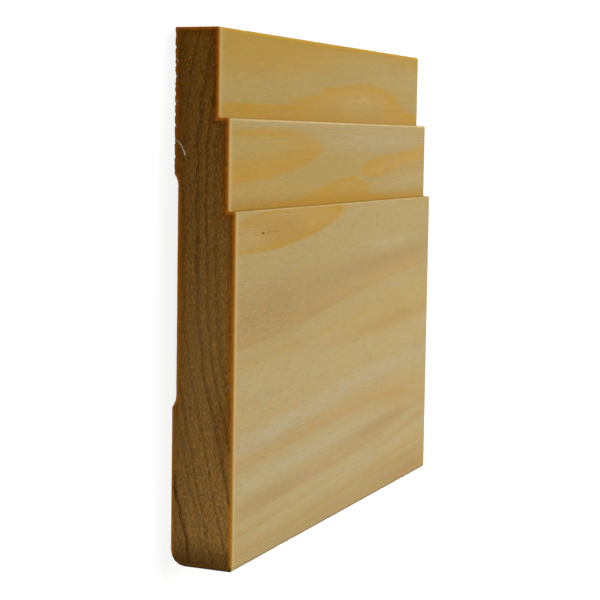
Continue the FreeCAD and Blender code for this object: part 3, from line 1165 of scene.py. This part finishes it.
def lay_torn_fibre(mesh, path):
    """A tapered sliver that lies on the sawn end along the path, half sunk in it."""
    stops = []
    for (y0, z0, r0), (y1, z1, r1) in zip(path, path[1:]):
        for step in range(TORN_STEPS):
            share = step / TORN_STEPS
            stops.append((y0 + (y1 - y0) * share, z0 + (z1 - z0) * share, r0 + (r1 - r0) * share))
    stops.append(path[-1])
    first, last = Vector(stops[0][:2]), Vector(stops[-1][:2])
    along = (last - first).normalized()
    across = Vector((-along.y, along.x))
    rings = []
    for y, z, radius in stops:
        ring = []
        for side in range(TORN_SIDES):
            angle = 2 * math.pi * side / TORN_SIDES
            fray = 1 + 0.35 * noise.noise(Vector((y * 4, z * 4, side * 1.7)))
            sideways = across * (math.cos(angle) * radius * fray)
            place = Vector((-math.sin(angle) * radius * fray * TORN_PROUD, y, z))
            place.y += sideways.x
            place.z = max(0.05, place.z + sideways.y)
            ring.append(mesh.verts.new(to_frame(place)))
        rings.append(ring)
    for near, far in zip(rings, rings[1:]):
        for side in range(TORN_SIDES):
            following = (side + 1) % TORN_SIDES
            mesh.faces.new((near[side], near[following], far[following], far[side]))
    mesh.faces.new(rings[0][::-1])
    mesh.faces.new(rings[-1])


def torn_fibre_mesh():
    """All the torn fibres of the left end as one mesh."""
    mesh = bmesh.new()
    for path in TORN_PATHS:
        lay_torn_fibre(mesh, path)
    bmesh.ops.recalc_face_normals(mesh, faces=mesh.faces)
    for face in mesh.faces:
        face.smooth = True
    return mesh


def dress_board():
    """Builds the materials and the pieces."""
    groups = {
        "place": board_place(),
        "swell": growth_swell(),
        "fibres": fibres(),
        "canals": resin_canals(),
        "depth": depth_from_outline(),
        "arris": along_arris(),
    }
    groups["rings"] = growth_rings(groups["swell"], groups["fibres"])
    board = add_piece("moulded_board", board_mesh(), [planed_pine(groups), sawn_end_grain(groups)])
    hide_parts(NODE)
    add_piece("torn_fibres", torn_fibre_mesh(), [torn_pine(groups)])
    return board


# Studio

FLOOR_SIZE = 6.0
FLOOR_GAP = 0.05 * MM
FLOOR_GREY = 0.6
FLOOR_SHADOWED = 0.84
FLOOR_SHADING = 0.25

LENS = 96.27
CAMERA_PLACE = (-0.442556, 0.041796, 0.193003)
CAMERA_TURN = (-4.6627, -66.7472, 0.8873)
CAMERA_SHIFT = -0.05

KEY_PLACE = (0.55, 0.25, 1.0)
KEY_SIZE = 0.9
KEY_POWER = 13.2
FILL_PLACE = (-0.42, -0.34, 0.16)
FILL_SIZE = 0.2
FILL_POWER = 0.45
WORLD_LIGHT = 0.28


def studio_floor():
    """A pale floor that the camera sees as white, with the object's soft shadow on it."""
    mesh = bmesh.new()
    half = FLOOR_SIZE / 2
    corners = ((-half, -half), (half, -half), (half, half), (-half, half))
    mesh.faces.new([mesh.verts.new((x, y, low.z - FLOOR_GAP)) for x, y in corners])
    data = bpy.data.meshes.new("studio_floor")
    mesh.to_mesh(data)
    mesh.free()
    floor = bpy.data.objects.new("studio_floor", data)
    bpy.context.scene.collection.objects.link(floor)

    material = bpy.data.materials.new("studio_floor")
    material.use_nodes = True
    bench = Bench(material.node_tree)
    material.node_tree.nodes.remove(material.node_tree.nodes["Principled BSDF"])
    output = material.node_tree.nodes["Material Output"]
    lit = bench.add("ShaderNodeBsdfDiffuse")
    bench.feed(lit.inputs["Color"], (FLOOR_GREY,) * 3 + (1,))
    seen = bench.add("ShaderNodeBsdfDiffuse")
    bench.feed(seen.inputs["Color"], (FLOOR_SHADING,) * 3 + (1,))
    glow = bench.add("ShaderNodeEmission")
    bench.feed(glow.inputs["Strength"], FLOOR_SHADOWED)
    white = bench.add("ShaderNodeAddShader")
    bench.feed(white.inputs[0], seen.outputs[0])
    bench.feed(white.inputs[1], glow.outputs[0])
    ray = bench.add("ShaderNodeLightPath").outputs
    direct = bench.math("MAXIMUM", ray["Is Camera Ray"], ray["Is Glossy Ray"])
    direct = bench.math("MAXIMUM", direct, ray["Is Transmission Ray"])
    choice = bench.add("ShaderNodeMixShader")
    bench.feed(choice.inputs[0], direct)
    bench.feed(choice.inputs[1], lit.outputs[0])
    bench.feed(choice.inputs[2], white.outputs[0])
    bench.feed(output.inputs["Surface"], choice.outputs[0])
    data.materials.append(material)


def studio_world():
    """An even low light from all round, which the camera sees as white."""
    world = bpy.data.worlds.new("studio_world")
    world.use_nodes = True
    bench = Bench(world.node_tree)
    background = world.node_tree.nodes["Background"]
    ray = bench.add("ShaderNodeLightPath").outputs
    direct = bench.math("MAXIMUM", ray["Is Camera Ray"], ray["Is Glossy Ray"])
    direct = bench.math("MAXIMUM", direct, ray["Is Transmission Ray"])
    bench.feed(background.inputs["Color"], (1, 1, 1, 1))
    bench.feed(background.inputs["Strength"], bench.grade(direct, WORLD_LIGHT, 1.0))
    bpy.context.scene.world = world


def area_lamp(name, place, size, power, target):
    """A soft square lamp at a place, aimed at the target."""
    data = bpy.data.lights.new(name, "AREA")
    data.shape = "SQUARE"
    data.size = size
    data.energy = power
    lamp = bpy.data.objects.new(name, data)
    lamp.location = place
    lamp.rotation_euler = (Vector(target) - Vector(place)).to_track_quat("-Z", "Y").to_euler()
    bpy.context.scene.collection.objects.link(lamp)


def studio_camera():
    """The camera, beside the left end and above it, turned so that the board's height runs up
    the picture."""
    data = bpy.data.cameras.new("studio_camera")
    data.lens = LENS
    data.shift_y = CAMERA_SHIFT
    camera = bpy.data.objects.new("studio_camera", data)
    camera.location = CAMERA_PLACE
    camera.rotation_mode = "ZXY"
    camera.rotation_euler = Euler([math.radians(turn) for turn in CAMERA_TURN], "ZXY")
    bpy.context.scene.collection.objects.link(camera)
    bpy.context.scene.camera = camera


dress_board()
studio_floor()
studio_world()
area_lamp("key_lamp", KEY_PLACE, KEY_SIZE, KEY_POWER, (0, 0, 0))
area_lamp("fill_lamp", FILL_PLACE, FILL_SIZE, FILL_POWER, (low.x, 0, high.z / 2))
studio_camera()
bpy.context.scene.view_settings.view_transform = "Standard"
